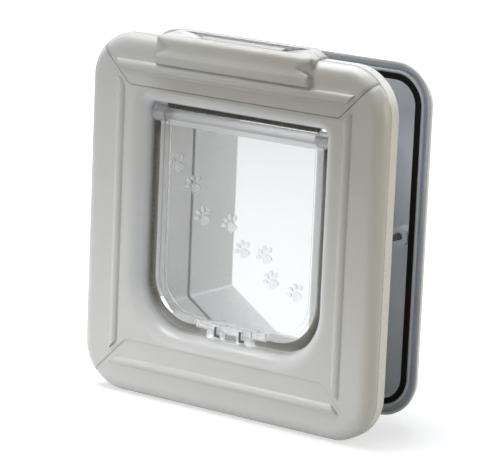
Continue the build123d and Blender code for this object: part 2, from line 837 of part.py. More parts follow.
def outdoor_frame():
    """The outdoor frame: a channelled flange, a shallow dish with two posts, and its half of the tunnel."""
    flange = slab(outdoor_outline(), door_thickness, flange_back)
    flange = fillet(flange.faces().sort_by(Axis.Y)[-1].edges(), flange_round)
    foot = outdoor_outline(flange_round)
    dome = taper(foot, flange_back - flange_edge, outdoor_outline(dish_inset), outdoor_face)
    dome = fillet(dome.faces().sort_by(Axis.Y)[-1].edges(), dish_round)
    body = flange + dome - slab(outdoor_outline(flange_land), door_thickness, dish_floor)
    step = door_thickness + tunnel_seam / 2
    inner = tunnel_wall + sleeve_clearance
    sleeve = inner + tunnel_wall
    collar = slab(tunnel_outline(mouth_wall), dish_floor, mouth)
    body += fillet(collar.faces().sort_by(Axis.Y)[-1].edges(), mouth_round)
    body += slab(tunnel_outline(tunnel_wall), step, outdoor_face)
    body += slab(tunnel_outline(sleeve), step, step + tunnel_wall)
    body += slab(tunnel_outline(sleeve) - tunnel_outline(inner), door_thickness - sleeve_overlap, step)
    for side in (-1, 1):
        root = outdoor_face - dish_wall / 2
        body += rod_through(post_outer_radius, side * screw_spread, screw_height, post_face, root)
    body -= slab(tunnel_outline(), step, mouth)
    channel = outdoor_outline(flange_rim) - outdoor_outline(channel_inset)
    body -= slab(channel, door_thickness, door_thickness + channel_depth)
    seat = outdoor_outline(gasket_inset) - outdoor_outline(flange_land)
    body -= slab(seat, door_thickness, door_thickness + gasket_seat)
    hole_end = post_face + screw_thread + screw_tip_room
    for side in (-1, 1):
        body -= rod_through(screw_radius + fit_gap, side * screw_spread, screw_height, post_face, hole_end)
    return body


def outdoor_gasket():
    ring = outdoor_outline(gasket_inset + fit_gap) - outdoor_outline(flange_land - fit_gap)
    return slab(ring, door_thickness - gasket_proud, door_thickness + gasket_seat)


def save(name, shape):
    export_step(shape, f"parts/{name}.step")


os.makedirs("parts", exist_ok=True)
shell = front_shell()
save("front_bezel", front_bezel(shell))
save("top_cover", top_cover(shell))
save("rear_frame", rear_frame())
save("flap_panel", flap_panel())
save("flap_catch", flap_catch())
save("catch_strikers", Compound(children=[catch_striker(-1), catch_striker(1)]))
save("flap_magnet", flap_magnet())
save("sill_magnet", sill_magnet())
save("brush_top", top_brush())
save("battery_tray", battery_tray())
save("circuit_board", circuit_board())
save("wiring_lead", wiring_lead())
save("sensor_coil", sensor_coil())
save("outdoor_frame", outdoor_frame())
save("outdoor_gasket", outdoor_gasket())
save("fixing_screws", Compound(children=[fixing_screw(-1), fixing_screw(1)]))
save("bezel_pegs", Compound(children=[bezel_peg(x, z) for x, z in bezel_peg_places]))
save("contact_link", contact(-cell_length, (lower_row, upper_row)))
save("contact_upper", contact(cell_length, (upper_row,)))
save("contact_lower", contact(cell_length, (lower_row,)))
for number, (column, row) in enumerate([(-1, 1), (1, 1), (-1, -1), (1, -1)], start=1):
    save(f"battery_{number}", cell(column, row))
for side, word in ((-1, "left"), (1, "right")):
    save(f"hinge_pin_{word}", hinge_pin(side))
    save(f"brush_{word}", brush(side))
    save(f"latch_{word}", latch(side))
    save(f"plunger_{word}", plunger(side))
    save(f"latch_spring_{word}", latch_spring(side))
    save(f"solenoid_yoke_{word}", solenoid_yoke(side))
    save(f"solenoid_coil_{word}", solenoid_coil(side))
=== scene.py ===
# %% [markdown]
# # A cat flap in its studio
# This lesson dresses a cat flap for its portrait. The solid parts come from the imported construction model, which
# is the fixed frame: Blender never moves it. Here the parts get their finishes, and the fine things that nobody
# would draw as solids, such as the bristles of the seal or the thread of a screw. The first cell loads the frame
# and keeps its size.

# %% Load the fixed frame
import math

import bmesh
import bpy
from mathutils import Matrix, Vector


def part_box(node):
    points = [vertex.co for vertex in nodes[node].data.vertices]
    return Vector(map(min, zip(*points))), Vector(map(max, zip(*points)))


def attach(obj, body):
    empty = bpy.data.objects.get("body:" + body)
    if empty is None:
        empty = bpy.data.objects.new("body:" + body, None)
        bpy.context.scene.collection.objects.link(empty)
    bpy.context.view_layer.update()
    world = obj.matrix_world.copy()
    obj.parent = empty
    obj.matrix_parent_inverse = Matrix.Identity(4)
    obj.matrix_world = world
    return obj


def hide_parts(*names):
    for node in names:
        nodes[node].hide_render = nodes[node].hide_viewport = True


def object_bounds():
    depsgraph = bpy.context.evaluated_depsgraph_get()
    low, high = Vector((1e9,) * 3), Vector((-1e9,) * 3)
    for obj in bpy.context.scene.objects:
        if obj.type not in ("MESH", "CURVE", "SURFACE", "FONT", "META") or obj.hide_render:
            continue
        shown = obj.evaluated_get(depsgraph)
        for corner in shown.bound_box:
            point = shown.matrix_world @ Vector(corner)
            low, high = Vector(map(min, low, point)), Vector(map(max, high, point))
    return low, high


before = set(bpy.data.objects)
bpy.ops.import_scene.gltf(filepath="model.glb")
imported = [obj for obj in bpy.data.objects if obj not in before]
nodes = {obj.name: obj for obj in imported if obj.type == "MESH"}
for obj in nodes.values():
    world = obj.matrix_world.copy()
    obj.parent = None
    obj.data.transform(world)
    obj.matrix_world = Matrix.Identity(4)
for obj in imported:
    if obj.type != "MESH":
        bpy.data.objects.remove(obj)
cad_low, cad_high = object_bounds()
scene = bpy.context.scene
scene.view_settings.view_transform = "Standard"
print("parts in the frame:", len(nodes), "size in mm:", [round(1000 * x) for x in cad_high - cad_low])

# %% [markdown]
# ## The camera
# A product photograph is taken from far away with a long lens, so that upright edges stay nearly upright. The
# view is from the right, a little above the flap, and the camera is rolled by a hair. The three directions of the
# camera are worked out from these angles and put in its matrix, which is exact where a tracking target would not
# be.

# %% Camera
azimuth, elevation, roll = (math.radians(a) for a in (35.86, 12.147, 2.448))
distance = 1.951314
aim = Vector((0, -0.0177, -0.0052))
photo_width, sensor_width, focal_length = 500, 36, 216
focal_pixels = photo_width * focal_length / sensor_width
pixels_right, pixels_down = -24.128, 8.625

ahead = math.cos(elevation)
back = Vector((math.sin(azimuth) * ahead, -math.cos(azimuth) * ahead, math.sin(elevation)))
level = Vector((math.cos(azimuth), math.sin(azimuth), 0))
right = math.cos(roll) * level + math.sin(roll) * back.cross(level)
up = back.cross(right)
eye = aim + distance * (back - pixels_right / focal_pixels * right + pixels_down / focal_pixels * up)

lens = bpy.data.cameras.new("portrait_lens")
lens.sensor_width = sensor_width
lens.lens = focal_length
lens.clip_start = 0.1
lens.clip_end = 60
camera = bpy.data.objects.new("portrait_camera", lens)
scene.collection.objects.link(camera)
camera.matrix_world = Matrix.Translation(eye) @ Matrix((right, up, back)).transposed().to_4x4()
scene.camera = camera
print("camera stands at", [round(x, 3) for x in eye])

# %% [markdown]
# ## The studio
# Pale glossy plastic only looks like plastic when there is something pale for it to mirror. A white sweep of
# floor, an even sky and a few large soft lamps do that. The lamp overhead makes the tops white, and the front
# stays a soft grey. The floor and the sky are shown to the camera as white, while the light that they give stays
# plain. Three helpers come first: a sum of two node values, a ramp, and the share of rays that should see white.

# %% Sums, ramps and rays
def sums(tree, operation, first, second):
    """One sum of two values, each a number or the outlet of a node."""
    total = tree.nodes.new("ShaderNodeMath")
    total.operation = operation
    for slot, value in enumerate((first, second)):
        if isinstance(value, float):
            total.inputs[slot].default_value = value
        else:
            tree.links.new(value, total.inputs[slot])
    return total.outputs[0]


def rising(tree, value, start, end, low=0.0, high=1.0):
    """The low value up to the start, the high one from the end on, and even steps between them."""
    ramp = tree.nodes.new("ShaderNodeMapRange")
    for socket, number in (("From Min", start), ("From Max", end), ("To Min", low), ("To Max", high)):
        ramp.inputs[socket].default_value = number
    tree.links.new(value, ramp.inputs["Value"])
    return ramp.outputs["Result"]


def ray_shares(tree):
    """One for a ray straight from the camera, and one for a ray off a mirror or through a pane."""
    path = tree.nodes.new("ShaderNodeLightPath").outputs
    return path["Is Camera Ray"], sums(tree, "MAXIMUM", path["Is Glossy Ray"], path["Is Transmission Ray"])


# %% [markdown]
# The sky gives an even, weak light. Where the camera looks straight at it, or sees it in a mirror, it is white.

# %% Sky
sky_strength, sky_white = 0.125, 0.95
sky = bpy.data.worlds.new("studio_sky")
scene.world = sky
sky.use_nodes = True
tree = sky.node_tree
sky_light = tree.nodes["Background"]
sky_light.inputs["Color"].default_value = (1.0, 1.0, 1.0, 1.0)
shown = sums(tree, "MAXIMUM", *ray_shares(tree))
tree.links.new(rising(tree, shown, 0.0, 1.0, sky_strength, sky_white), sky_light.inputs["Strength"])
print("the sky gives", sky_strength, "and is seen as", sky_white)

# %% [markdown]
# The floor is one large face just below the object. It belongs to the studio, not to the model.

# %% Floor
floor_gap = 0.0005
ground = cad_low.z - floor_gap
floor_side, floor_front, floor_back = 6, -4, 8
floor_corners = [(-floor_side, floor_front, ground), (floor_side, floor_front, ground),
                 (floor_side, floor_back, ground), (-floor_side, floor_back, ground)]
floor_mesh = bpy.data.meshes.new("studio_floor")
floor_mesh.from_pydata(floor_corners, [], [(0, 1, 2, 3)])
floor = bpy.data.objects.new("studio_floor", floor_mesh)
scene.collection.objects.link(floor)
print("floor lies at", round(1000 * ground, 1), "mm")

# %% [markdown]
# The floor is matt paper with a glow that only the camera and mirrors see. Near the object the glow is weaker, so
# that the shadow shows, and further out it rises to white.

# %% Paper of the floor
paper_grey = (0.56, 0.56, 0.56, 1)
glow_start, glow_end = 0.25, 1.6
glow_near, glow_far, glow_mirrored = 0.58, 0.95, 0.36
paper = bpy.data.materials.new("white_paper")
paper.use_nodes = True
tree = paper.node_tree
tree.nodes.remove(tree.nodes["Principled BSDF"])
matt = tree.nodes.new("ShaderNodeBsdfDiffuse")
matt.inputs["Color"].default_value = paper_grey
glow = tree.nodes.new("ShaderNodeEmission")
place = tree.nodes.new("ShaderNodeTexCoord")
reach = tree.nodes.new("ShaderNodeVectorMath")
reach.operation = "LENGTH"
tree.links.new(place.outputs["Object"], reach.inputs[0])
fade = rising(tree, reach.outputs["Value"], glow_start, glow_end, glow_near, glow_far)
seen, mirrored = ray_shares(tree)
white = sums(tree, "ADD", sums(tree, "MULTIPLY", seen, fade), sums(tree, "MULTIPLY", mirrored, glow_mirrored))
tree.links.new(white, glow.inputs["Strength"])
both = tree.nodes.new("ShaderNodeAddShader")
tree.links.new(matt.outputs[0], both.inputs[0])
tree.links.new(glow.outputs[0], both.inputs[1])
tree.links.new(both.outputs[0], tree.nodes["Material Output"].inputs["Surface"])
floor_mesh.materials.append(paper)
print("paper on", floor.name)

# %% [markdown]
# The lamps are large, so that their mirror images have soft edges. A weak one from the low left lifts the front,
# a warm card stands at the right, and a cool one behind the object.

# %% Lamps
def soft_lamp(name, place, target, size, watts, colour, spread=180, mirrored=True):
    """A large flat lamp that faces a target and that the camera doesn't see."""
    lamp = bpy.data.lights.new(name, "AREA")
    lamp.shape = "RECTANGLE"
    lamp.size, lamp.size_y = size
    lamp.energy = watts
    lamp.color = colour
    lamp.spread = math.radians(spread)
    stand = bpy.data.objects.new(name, lamp)
    scene.collection.objects.link(stand)
    stand.location = place
    stand.rotation_euler = (Vector(target) - Vector(place)).to_track_quat("-Z", "Y").to_euler()
    stand.visible_camera = False
    stand.visible_glossy = mirrored


soft_lamp("overhead_softbox", (-0.35, 0.06, 1.3), (0, 0, 0), (1.6, 1.0), 25, (0.96, 0.98, 1.0))
soft_lamp("low_left_fill", (-0.7, -1.0, 0.0), (-0.05, 0, -0.21), (0.7, 0.25), 0.60, (1, 1, 1), 42, False)
soft_lamp("right_card", (1.5, 0.12, 0.15), (0.1, 0.0, 0), (0.9, 1.2), 9, (1.0, 0.94, 0.80))
soft_lamp("cool_back_card", (0.5, 1.5, 0.7), (0.1, 0.04, 0.05), (1.0, 0.8), 6.5, (0.78, 0.89, 1.0))

# %% [markdown]
# ## Finishes
# Every finish is made of nodes, so it stays sharp at any distance. Object coordinates carry the patterns: all the
# parts sit at the origin, so a pattern runs on from one part to the next at one scale. A small builder makes the
# common core, a Principled shader whose colour, roughness and relief each follow their own noise. Where it is
# asked to, it also shades the edges of a part as if they were slightly round, which a Bevel node does without new
# faces.

# %% Builder for finishes
relief_height = 0.0002
noise_low, noise_high = 0.3, 0.7


def finish(name, dark, pale, rough, grain=900.0, relief=0.02, relief_scale=2400.0, soft_edge=0.0, **constants):
    """A surface that wanders between two colours and two roughnesses, with a fine relief and soft edges."""
    material = bpy.data.materials.new(name)
    material.use_nodes = True
    tree = material.node_tree
    shader = tree.nodes["Principled BSDF"]
    for socket, value in constants.items():
        shader.inputs[socket.replace("_", " ")].default_value = value
    place = tree.nodes.new("ShaderNodeTexCoord")

    def noise(scale, detail):
        cloud = tree.nodes.new("ShaderNodeTexNoise")
        cloud.inputs["Scale"].default_value = scale
        cloud.inputs["Detail"].default_value = detail
        tree.links.new(place.outputs["Object"], cloud.inputs["Vector"])
        return cloud.outputs["Fac"]

    tone = tree.nodes.new("ShaderNodeMix")
    tone.data_type = "RGBA"
    tone.inputs["A"].default_value = (*dark, 1)
    tone.inputs["B"].default_value = (*pale, 1)
    tree.links.new(noise(grain / 20, 3.0), tone.inputs["Factor"])
    tree.links.new(tone.outputs["Result"], shader.inputs["Base Color"])
    gloss = rising(tree, noise(grain, 2.0), noise_low, noise_high, *rough)
    tree.links.new(gloss, shader.inputs["Roughness"])
    bump = tree.nodes.new("ShaderNodeBump")
    bump.inputs["Strength"].default_value = relief
    bump.inputs["Distance"].default_value = relief_height
    tree.links.new(noise(relief_scale, 2.0), bump.inputs["Height"])
    tree.links.new(bump.outputs["Normal"], shader.inputs["Normal"])
    if soft_edge:
        round_edge = tree.nodes.new("ShaderNodeBevel")
        round_edge.samples = 6
        round_edge.inputs["Radius"].default_value = soft_edge
        tree.links.new(round_edge.outputs["Normal"], bump.inputs["Normal"])
    return material


def dress(material, *names):
    """Gives one finish to parts of the frame."""
    for name in names:
        nodes[name].data.materials.clear()
        nodes[name].data.materials.append(material)


# %% [markdown]
# Some finishes change from place to place: a line where two mouldings meet, or painted light at the foot of the
# pile. Masks do that. A mask is a number between nought and one that is worked out from the object coordinates.

# %% Masks for places
def object_axes(tree):
    """The object coordinates X, Y and Z, one outlet each."""
    place = tree.nodes.new("ShaderNodeTexCoord")
    axes = tree.nodes.new("ShaderNodeSeparateXYZ")
    tree.links.new(place.outputs["Object"], axes.inputs[0])
    return tuple(axes.outputs)


def within(tree, value, low, high):
    """One where a coordinate lies between two limits, and nought elsewhere."""
    middle = tree.nodes.new("ShaderNodeMath")
    middle.operation = "COMPARE"
    middle.inputs[1].default_value = (low + high) / 2
    middle.inputs[2].default_value = (high - low) / 2
    tree.links.new(value, middle.inputs[0])
    return middle.outputs[0]


def above(tree, value, limit):
    """One where a value is more than a limit."""
    return sums(tree, "GREATER_THAN", value, limit)


def below(tree, value, limit):
    """One where a value is less than a limit."""
    return sums(tree, "LESS_THAN", value, limit)


def all_of(tree, *masks):
    """One only where every mask is one."""
    product = masks[0]
    for mask in masks[1:]:
        product = sums(tree, "MULTIPLY", product, mask)
    return product


# %% [markdown]
# Two more helpers measure a place on the frames, which are oblongs round the opening: from the middle outwards,
# and from the outer edge inwards. The last one brings a colour into a finish where a mask says so.

# %% Distances and tints
def outmost(tree, across, upright, squash=1.0):
    """How far a spot is from the middle of the opening, sideways or upright, whichever is more."""
    lifted = sums(tree, "MULTIPLY", sums(tree, "ABSOLUTE", upright, 0.0), squash)
    return sums(tree, "MAXIMUM", sums(tree, "ABSOLUTE", across, 0.0), lifted)


def inset(tree, across, upright, half_width, half_height, corner):
    """How far a spot lies inside the edge of an oblong with round corners."""
    past = []
    for axis, half in ((across, half_width), (upright, half_height)):
        beyond = sums(tree, "SUBTRACT", sums(tree, "ABSOLUTE", axis, 0.0), half - corner)
        past.append(sums(tree, "POWER", sums(tree, "MAXIMUM", beyond, 0.0), 2.0))
    return sums(tree, "SUBTRACT", corner, sums(tree, "POWER", sums(tree, "ADD", *past), 0.5))


def tint(material, mask, colour):
    """Brings another colour into a finish where a mask says so."""
    tree = material.node_tree
    shader = tree.nodes["Principled BSDF"]
    blend = tree.nodes.new("ShaderNodeMix")
    blend.data_type = "RGBA"
    blend.inputs["B"].default_value = (*colour, 1)
    tree.links.new(mask, blend.inputs["Factor"])
    tree.links.new(shader.inputs["Base Color"].links[0].from_socket, blend.inputs["A"])
    tree.links.new(blend.outputs["Result"], shader.inputs["Base Color"])


# %% [markdown]
# ### Moulded plastic
# The frames are injection-moulded and left glossy from the tool. Seen close, such a skin is never quite flat: it
# has a faint orange peel and hardly any change of tone, and its edges are a little round. The rear of the indoor
# frame is a touch warmer than its front. The latches are black, and the strikers in the catch are smoked.

# %% Plain plastics
edge_round = 0.0015
front_plastic = finish("pale_front_plastic", (0.66, 0.66, 0.64), (0.70, 0.70, 0.68), (0.14, 0.20), relief=0.03,
                       soft_edge=edge_round)
rear_plastic = finish("warm_rear_plastic", (0.71, 0.70, 0.67), (0.75, 0.74, 0.71), (0.22, 0.30), relief=0.04)
outdoor_plastic = finish("outdoor_plastic", (0.75, 0.75, 0.74), (0.79, 0.79, 0.78), (0.22, 0.30), relief=0.04,
                         soft_edge=edge_round)
black_plastic = finish("black_latch_plastic", (0.012, 0.012, 0.013), (0.02, 0.02, 0.022), (0.35, 0.5))
smoked_plastic = finish("smoked_striker_plastic", (0.06, 0.064, 0.075), (0.085, 0.09, 0.10), (0.3, 0.42))
dress(front_plastic, "front_bezel", "top_cover")
dress(rear_plastic, "rear_frame", "battery_tray")
dress(outdoor_plastic, "outdoor_frame")
dress(black_plastic, "latch_left", "latch_right")
dress(smoked_plastic, "catch_strikers")
print("plastics:", [m.name for m in (front_plastic, rear_plastic, outdoor_plastic, black_plastic, smoked_plastic)])

# %% [markdown]
# Along their right edge both mouldings of the indoor frame get a warm painted tone for the warm light that falls on
# that side: painted shade on the front moulding, painted light on the rear one. Where the two meet, a fine line
# runs round the edge.

# %% Right edge and parting line
right_side_painted_span = (0.108, 0.115)
edge_reach = 0.11
parting_line = (-0.00935, -0.00865)
for plastic, painted_side_tone, shade in ((front_plastic, (0.61, 0.595, 0.53), (0.42, 0.42, 0.40)),
                              (rear_plastic, (0.77, 0.745, 0.67), (0.45, 0.44, 0.41))):
    tree = plastic.node_tree
    x, y, z = object_axes(tree)
    # Painted warm light and shade on the right side of each moulding.
    tint(plastic, rising(tree, x, *right_side_painted_span), painted_side_tone)
    on_edge = above(tree, outmost(tree, x, z), edge_reach)
    tint(plastic, all_of(tree, on_edge, within(tree, y, *parting_line)), shade)
    print("edge and parting line on", plastic.name)

# %% [markdown]
# On the side that the door hides, the outdoor half gets a cool painted shade in the channel of its flange and a
# cool, paler painted light in its dish. A grey line marks the seam where its sleeve takes over from the tunnel of
# the indoor half.

# %% Channel, dish and seam of the outdoor half
flange_corner = 0.0275
channel_inset, channel_floor = (0.0019, 0.0055), 0.0440
dish_inset, dish_span = 0.0110, (0.0400, 0.0555)
tunnel_squash, tunnel_outside, tunnel_inside = 0.8, 0.0765, 0.0735
seam_span = (0.0400, 0.0422)
flange_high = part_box("outdoor_frame")[1]
tree = outdoor_plastic.node_tree
x, y, z = object_axes(tree)
from_edge = inset(tree, x, z, flange_high.x, flange_high.z, flange_corner)
from_middle = outmost(tree, x, z, tunnel_squash)
channel_painted_shade = all_of(tree, within(tree, from_edge, *channel_inset), below(tree, y, channel_floor))
dish_painted_light = all_of(tree, above(tree, from_edge, dish_inset), within(tree, y, *dish_span),
                 above(tree, from_middle, tunnel_outside))
on_seam = all_of(tree, within(tree, y, *seam_span), below(tree, from_middle, tunnel_inside))
# Painted cool shade in the channel, painted cool light in the dish.
tint(outdoor_plastic, channel_painted_shade, (0.68, 0.735, 0.815))
tint(outdoor_plastic, dish_painted_light, (0.84, 0.90, 0.98))
tint(outdoor_plastic, on_seam, (0.43, 0.43, 0.43))
print("outdoor half reaches", round(1000 * flange_high.x, 1), "mm to the side")

# %% [markdown]
# The hollow of the grip is a soft scoop, so its edges get a larger round than the rest of the front. The upper
# right of the front gets a warm painted shade, the rail below the grip most of all, and the lip of the opening gets
# a pale painted light, weaker at the bottom.

# %% Grip, painted shade and painted light on the front
grip_height, grip_blend, grip_extra_round = 0.0220, 0.0005, 0.0040
grip_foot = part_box("top_cover")[1].z - grip_height
painted_shade_span, front_face = (-0.01, 0.16), (-0.0150, -0.0174)
lip_face, lip_reach, lip_foot = (-0.0175, -0.0130), 0.0862, (-0.085, -0.055)
rail_height, rail_start, rail_ends = (0.0842, 0.0945), (-0.075, -0.045), (-0.120, 0.092)
tree = front_plastic.node_tree
x, y, z = object_axes(tree)
on_grip = rising(tree, z, grip_foot - grip_blend, grip_foot + grip_blend)
rounding = sums(tree, "ADD", edge_round, sums(tree, "MULTIPLY", on_grip, grip_extra_round))
tree.links.new(rounding, tree.nodes["Bevel"].inputs["Radius"])
on_front = rising(tree, y, *front_face)
upper_right_painted_shade = rising(tree, sums(tree, "ADD", x, z), *painted_shade_span)
lip_painted_light = all_of(tree, rising(tree, y, *lip_face), below(tree, outmost(tree, x, z), lip_reach),
                rising(tree, z, *lip_foot))
rail_painted_shade = all_of(tree, within(tree, z, *rail_height), rising(tree, x, *rail_start), within(tree, x, *rail_ends))
# Painted shade on the upper right and on the rail, painted light on the lip of the opening.
tint(front_plastic, all_of(tree, upper_right_painted_shade, on_front), (0.54, 0.52, 0.455))
tint(front_plastic, lip_painted_light, (0.86, 0.88, 0.90))
tint(front_plastic, all_of(tree, rail_painted_shade, on_front), (0.50, 0.482, 0.42))
print("grip starts at", round(1000 * grip_foot, 1), "mm")

# %% [markdown]
# ### Clear acrylic
# The flap and its catch are clear. A pane like this bends light a little, mirrors a little and shows fine
# scratches. Its rim, its bar, its catch and the faces of the prints are left milky from the tool, and the prints
# are worn fainter towards the left. Masks say where each of them is: the faces of the prints stand just in front
# of the pane, the bar is above it, the catch is in the middle below, and the rim is what is left far from the
# middle.

# %% Places on the flap
clear = finish("clear_acrylic", (0.935, 0.938, 0.938), (0.965, 0.967, 0.967), (0.015, 0.05), relief=0.01,
               IOR=1.49, Transmission_Weight=1.0)
prints_across, prints_upright, prints_face = (-0.058, 0.058), (-0.046, 0.046), (-0.0058, -0.00493)
worn_span = (-0.070, -0.012)
bar_foot, bar_top = 0.0612, 0.09
catch_across, catch_upright = (-0.0285, 0.0285), (-0.09, -0.0653)
rim_squash, rim_reach = 0.93, 0.0606
tree = clear.node_tree
x, y, z = object_axes(tree)
paw_prints = all_of(tree, within(tree, x, *prints_across), within(tree, z, *prints_upright),
                    within(tree, y, *prints_face), rising(tree, x, *worn_span))
bar = within(tree, z, bar_foot, bar_top)
catch = all_of(tree, within(tree, z, *catch_upright), within(tree, x, *catch_across))
rim = all_of(tree, below(tree, z, bar_foot), above(tree, outmost(tree, x, z, rim_squash), rim_reach),
             sums(tree, "SUBTRACT", 1.0, catch))
print("clear finish with", len(tree.nodes), "nodes")

# %% [markdown]
# Each milky place is rougher, lets less light through and has its own colour. Lamps have to reach what is behind
# the pane, so rays that ask for shadow pass straight through.

# %% Milky places and shadow rays
shader = tree.nodes["Principled BSDF"]
haze = shader.inputs["Roughness"].links[0].from_socket
milky = sums(tree, "MULTIPLY", paw_prints, 0.30)
for mask, roughness in ((paw_prints, 0.34), (rim, 0.50), (bar, 0.30), (catch, 0.20)):
    haze = sums(tree, "MAXIMUM", haze, sums(tree, "MULTIPLY", mask, roughness))
for mask, share in ((rim, 0.55), (catch, 0.15), (bar, 0.35)):
    milky = sums(tree, "MAXIMUM", milky, sums(tree, "MULTIPLY", mask, share))
tree.links.new(haze, shader.inputs["Roughness"])
tree.links.new(sums(tree, "SUBTRACT", 1.0, milky), shader.inputs["Transmission Weight"])
tint(clear, rim, (0.66, 0.66, 0.65))
tint(clear, bar, (0.82, 0.825, 0.83))
tint(clear, catch, (0.90, 0.905, 0.905))
passing = tree.nodes.new("ShaderNodeBsdfTransparent")
passing.inputs["Color"].default_value = (0.9, 0.92, 0.92, 1)
asks = tree.nodes.new("ShaderNodeLightPath")
choice = tree.nodes.new("ShaderNodeMixShader")
tree.links.new(asks.outputs["Is Shadow Ray"], choice.inputs[0])
tree.links.new(shader.outputs[0], choice.inputs[1])
tree.links.new(passing.outputs[0], choice.inputs[2])
tree.links.new(choice.outputs[0], tree.nodes["Material Output"].inputs["Surface"])
dress(clear, "flap_panel", "flap_catch")
print("clear finish on flap and catch")

# %% [markdown]
# ### Metal, rubber and the parts behind the cover
# Most of these are only seen from the side or when the cover is lifted. Steel is bright and a little brushed, the
# gasket is a matt black foam, and the lead has a black sheath.

# %% Metal and rubber
# The long screws are near black: a painted shade that stands in for the dark hole in the screw post.
hole_shade_steel = finish("screw_steel_painted_hole_shade", (0.07, 0.07, 0.075), (0.12, 0.12, 0.128), (0.3, 0.45), Metallic=0.6)
steel = finish("plated_steel", (0.42, 0.44, 0.48), (0.56, 0.58, 0.62), (0.22, 0.38), Metallic=1.0)
nickel = finish("nickel_strip", (0.55, 0.54, 0.50), (0.68, 0.67, 0.64), (0.2, 0.32), Metallic=1.0)
copper = finish("enamelled_copper", (0.36, 0.13, 0.05), (0.55, 0.22, 0.09), (0.25, 0.4), Metallic=0.85)
foam = finish("gasket_foam", (0.004, 0.004, 0.004), (0.010, 0.010, 0.010), (0.7, 0.9), relief=0.4,
              relief_scale=3000, Specular_IOR_Level=0.15)
magnet_coat = finish("magnet_coat", (0.015, 0.015, 0.017), (0.03, 0.03, 0.032), (0.3, 0.45))
sheath = finish("black_sheath", (0.012, 0.012, 0.012), (0.02, 0.02, 0.02), (0.45, 0.6))
dress(steel, "hinge_pin_left", "hinge_pin_right", "plunger_left", "plunger_right", "latch_spring_left",
      "latch_spring_right", "solenoid_yoke_left", "solenoid_yoke_right", "bezel_pegs")
dress(nickel, "contact_link", "contact_upper", "contact_lower")
dress(copper, "solenoid_coil_left", "solenoid_coil_right")
dress(foam, "outdoor_gasket")
dress(magnet_coat, "flap_magnet", "sill_magnet")
dress(sheath, "wiring_lead")
print("finishes so far:", len(bpy.data.materials))

# %% [markdown]
# The cells have a plain dark jacket. The upper pair points to the right and the lower pair to the left, and a
# pale band marks the front end of each. The board is green laminate with black parts and a pale terminal block on
# it.

# %% Cells and board
pairs_part, cell_bands = 0.1025, ((-0.0130, -0.0060), (0.0375, 0.0445))
board_face, laminate_skin = -0.0081, 0.0002
terminal_across, terminal_upright = (0.0640, 0.0770), (0.0865, 0.0925)
jacket = finish("cell_jacket", (0.02, 0.022, 0.026), (0.03, 0.032, 0.037), (0.2, 0.3))
tree = jacket.node_tree
x, y, z = object_axes(tree)
onward = sums(tree, "MULTIPLY", x, sums(tree, "SIGN", sums(tree, "SUBTRACT", z, pairs_part), 0.0))
bands = sums(tree, "MAXIMUM", *(within(tree, onward, *span) for span in cell_bands))
tint(jacket, bands, (0.42, 0.44, 0.46))
dress(jacket, "battery_1", "battery_2", "battery_3", "battery_4")

laminate = finish("green_laminate", (0.012, 0.075, 0.03), (0.02, 0.10, 0.045), (0.28, 0.4))
tree = laminate.node_tree
x, y, z = object_axes(tree)
on_top = below(tree, y, board_face - laminate_skin)
terminals = all_of(tree, on_top, within(tree, x, *terminal_across), within(tree, z, *terminal_upright))
tint(laminate, on_top, (0.012, 0.012, 0.013))
tint(laminate, terminals, (0.42, 0.45, 0.44))
dress(laminate, "circuit_board")
print("cells and board:", jacket.name, laminate.name)

# %% [markdown]
# ### Pile
# The pile is olive brown. Each bristle will carry two numbers of its own, a tone and how near a spot is to its
# root, and the finish reads both as attributes. Its lower run is paler, a painted light where the lamp overhead
# falls on it.

# %% Pile finish
low_run_height, low_run_across, root_height = (-0.056, -0.066), (0.065, 0.040), (0.06, 0.05)
pile = finish("olive_pile", (0.17, 0.155, 0.125), (0.30, 0.285, 0.24), (0.6, 0.8), grain=4000)
tree = pile.node_tree


def bristle_number(tree, label):
    """A number that every bristle carries."""
    carried = tree.nodes.new("ShaderNodeAttribute")
    carried.attribute_name = label
    return carried.outputs["Fac"]


x, y, z = object_axes(tree)
darker = sums(tree, "MULTIPLY", bristle_number(tree, "bristle_tone"), 0.5)
low_run_painted_light = all_of(tree, rising(tree, z, *low_run_height), rising(tree, x, *low_run_across))
rooted = all_of(tree, bristle_number(tree, "bristle_root"), rising(tree, z, *root_height))
tint(pile, darker, (0.10, 0.09, 0.07))
# Painted light on the lower run of the pile, less at its right end.
tint(pile, low_run_painted_light, (0.74, 0.72, 0.67))
tint(pile, rooted, (0.46, 0.45, 0.41))
print("finishes:", len(bpy.data.materials))

# %% [markdown]
# ## Growing pieces with Geometry Nodes
# Bristles, turns of wire and the thread of a screw repeat, or follow a path, so a tree of nodes makes them from a
# few named sizes. These helpers start a tree with its inputs, add a node to it, and end it with real faces and a
# finish.

# %% Helpers for trees
def new_tree(name, **inputs):
    """An empty tree with a Geometry input and output, and one more input for each named size."""
    tree = bpy.data.node_groups.new(name, "GeometryNodeTree")
    tree.interface.new_socket("Geometry", in_out="INPUT", socket_type="NodeSocketGeometry")
    tree.interface.new_socket("Geometry", in_out="OUTPUT", socket_type="NodeSocketGeometry")
    for label, kind in inputs.items():
        tree.interface.new_socket(label, in_out="INPUT", socket_type="NodeSocket" + kind)
    return tree, tree.nodes.new("NodeGroupInput").outputs, tree.nodes.new("NodeGroupOutput").inputs


def node(tree, kind, links=None, **settings):
    """Adds a node. Settings are its own fields, links feed its sockets with other sockets or with values."""
    new = tree.nodes.new(kind)
    for field, value in settings.items():
        setattr(new, field, value)
    for socket, source in (links or {}).items():
        if isinstance(source, bpy.types.NodeSocket):
            tree.links.new(source, new.inputs[socket])
        else:
            new.inputs[socket].default_value = source
    return new


